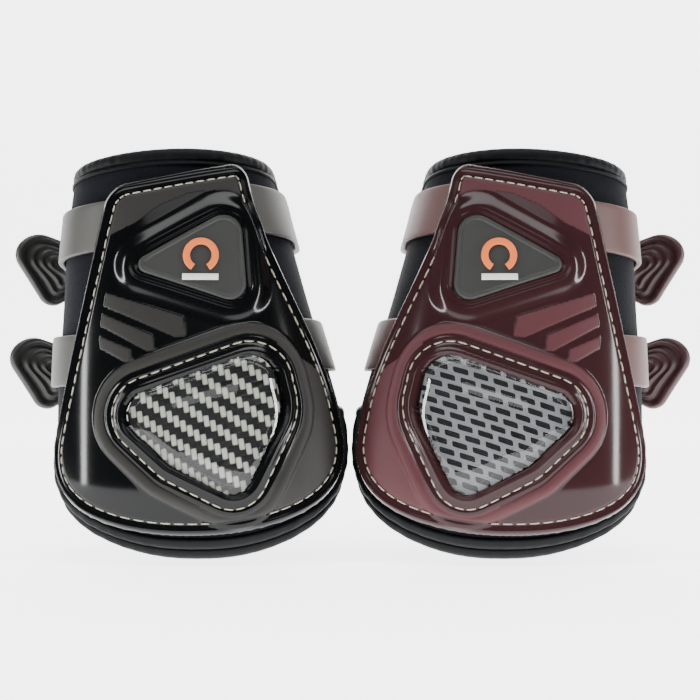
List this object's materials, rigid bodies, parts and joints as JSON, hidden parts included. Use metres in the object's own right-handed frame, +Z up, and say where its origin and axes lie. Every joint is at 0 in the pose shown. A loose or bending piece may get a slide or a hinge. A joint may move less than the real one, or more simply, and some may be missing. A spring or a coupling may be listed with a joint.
{
  "type": "hind fetlock boots",
  "caption": "Horse leg boots, a mirrored pair: moulded shell with clear domed lens and rubber badge over a neoprene liner, closed by stud straps with pull tabs.",
  "frame": {"origin": "midway between the two boots, at the height of the lowest hem", "axes": "+X from the viewer's left boot to the right boot, -Y out of the shells' front, +Z up the leg"},
  "size_m": [0.288, 0.1108, 0.155],
  "materials": {
    "left_shell": "glossy black TPU with matte zones",
    "right_shell": "glossy burgundy TPU with matte zones",
    "left_strap": "matte grey elastic TPU",
    "right_strap": "matte dusty burgundy elastic TPU",
    "left_tab": "matte dark grey TPU",
    "right_tab": "matte burgundy TPU",
    "left_carbon": "silver and black twill weave",
    "right_carbon": "silver cloth with rows of black dashes",
    "neoprene": "navy knit-faced neoprene",
    "binding": "smooth black stretch binding",
    "gel": "soft grey gel",
    "clear_lens": "clear glossy domed TPU",
    "badge_rubber": "dark grey matte rubber",
    "emblem_orange": "orange rubber inlay",
    "emblem_white": "white rubber inlay",
    "stud": "black moulded nylon"
  },
  "bodies": {
    "left_boot": {"left_inner_liner": "neoprene", "left_outer_liner": "neoprene", "left_top_binding": "binding", "left_bottom_binding": "binding", "left_shell": "left_shell", "left_gel_pad": "gel", "left_carbon_panel": "left_carbon", "left_lens": "clear_lens", "left_badge": "badge_rubber", "left_badge_emblem": "emblem_orange", "left_badge_stripe": "emblem_white", "left_upper_stud_band": "left_strap", "left_upper_stud": "stud", "left_upper_strap_anchor": "left_strap", "left_lower_stud_band": "left_strap", "left_lower_stud": "stud", "left_lower_strap_anchor": "left_strap"},
    "left_closing_flap": {"left_closing_flap_inner": "neoprene", "left_closing_flap_outer": "neoprene", "left_flap_binding": "binding"},
    "left_upper_strap": {"left_upper_strap": "left_strap"},
    "left_upper_tab": {"left_upper_pull_tab": "left_tab"},
    "left_lower_strap": {"left_lower_strap": "left_strap"},
    "left_lower_tab": {"left_lower_pull_tab": "left_tab"},
    "right_boot": {"right_inner_liner": "neoprene", "right_outer_liner": "neoprene", "right_top_binding": "binding", "right_bottom_binding": "binding", "right_shell": "right_shell", "right_gel_pad": "gel", "right_carbon_panel": "right_carbon", "right_lens": "clear_lens", "right_badge": "badge_rubber", "right_badge_emblem": "emblem_orange", "right_badge_stripe": "emblem_white", "right_upper_stud_band": "right_strap", "right_upper_stud": "stud", "right_upper_strap_anchor": "right_strap", "right_lower_stud_band": "right_strap", "right_lower_stud": "stud", "right_lower_strap_anchor": "right_strap"},
    "right_closing_flap": {"right_closing_flap_inner": "neoprene", "right_closing_flap_outer": "neoprene", "right_flap_binding": "binding"},
    "right_upper_strap": {"right_upper_strap": "right_strap"},
    "right_upper_tab": {"right_upper_pull_tab": "right_tab"},
    "right_lower_strap": {"right_lower_strap": "right_strap"},
    "right_lower_tab": {"right_lower_pull_tab": "right_tab"}
  },
  "joints": [
    {"name": "left_flap_hinge", "type": "hinge", "parent": "left_boot", "child": "left_closing_flap", "pos_m": [-0.04915, 0.052, 0.09], "axis": [0, 0, -1], "range_deg": [0, 75]},
    {"name": "left_upper_strap_hinge", "type": "hinge", "parent": "left_closing_flap", "child": "left_upper_strap", "pos_m": [-0.04915, 0.052, 0.12648], "axis": [0, 0, -1], "range_deg": [0, 25]},
    {"name": "left_upper_tab_flex", "type": "hinge", "parent": "left_upper_strap", "child": "left_upper_tab", "pos_m": [-0.11246, 0.052, 0.11255], "axis": [0, 0, -1], "range_deg": [-12, 30], "stiffness_Nm_per_rad": 0.05},
    {"name": "left_lower_strap_hinge", "type": "hinge", "parent": "left_closing_flap", "child": "left_lower_strap", "pos_m": [-0.04915, 0.052, 0.07704], "axis": [0, 0, -1], "range_deg": [0, 25]},
    {"name": "left_lower_tab_flex", "type": "hinge", "parent": "left_lower_strap", "child": "left_lower_tab", "pos_m": [-0.11489, 0.052, 0.06849], "axis": [0, 0, -1], "range_deg": [-12, 30], "stiffness_Nm_per_rad": 0.05},
    {"name": "right_flap_hinge", "type": "hinge", "parent": "right_boot", "child": "right_closing_flap", "pos_m": [0.04915, 0.052, 0.09], "axis": [0, 0, 1], "range_deg": [0, 75]},
    {"name": "right_upper_strap_hinge", "type": "hinge", "parent": "right_closing_flap", "child": "right_upper_strap", "pos_m": [0.04915, 0.052, 0.12648], "axis": [0, 0, 1], "range_deg": [0, 25]},
    {"name": "right_upper_tab_flex", "type": "hinge", "parent": "right_upper_strap", "child": "right_upper_tab", "pos_m": [0.11246, 0.052, 0.11255], "axis": [0, 0, 1], "range_deg": [-12, 30], "stiffness_Nm_per_rad": 0.05},
    {"name": "right_lower_strap_hinge", "type": "hinge", "parent": "right_closing_flap", "child": "right_lower_strap", "pos_m": [0.04915, 0.052, 0.07704], "axis": [0, 0, 1], "range_deg": [0, 25]},
    {"name": "right_lower_tab_flex", "type": "hinge", "parent": "right_lower_strap", "child": "right_lower_tab", "pos_m": [0.11489, 0.052, 0.06849], "axis": [0, 0, 1], "range_deg": [-12, 30], "stiffness_Nm_per_rad": 0.05},
    {"name": "boot_spacing", "type": "slide", "parent": "left_boot", "child": "right_boot", "axis": [1, 0, 0], "range_m": [0, 0.25]}
  ]
}
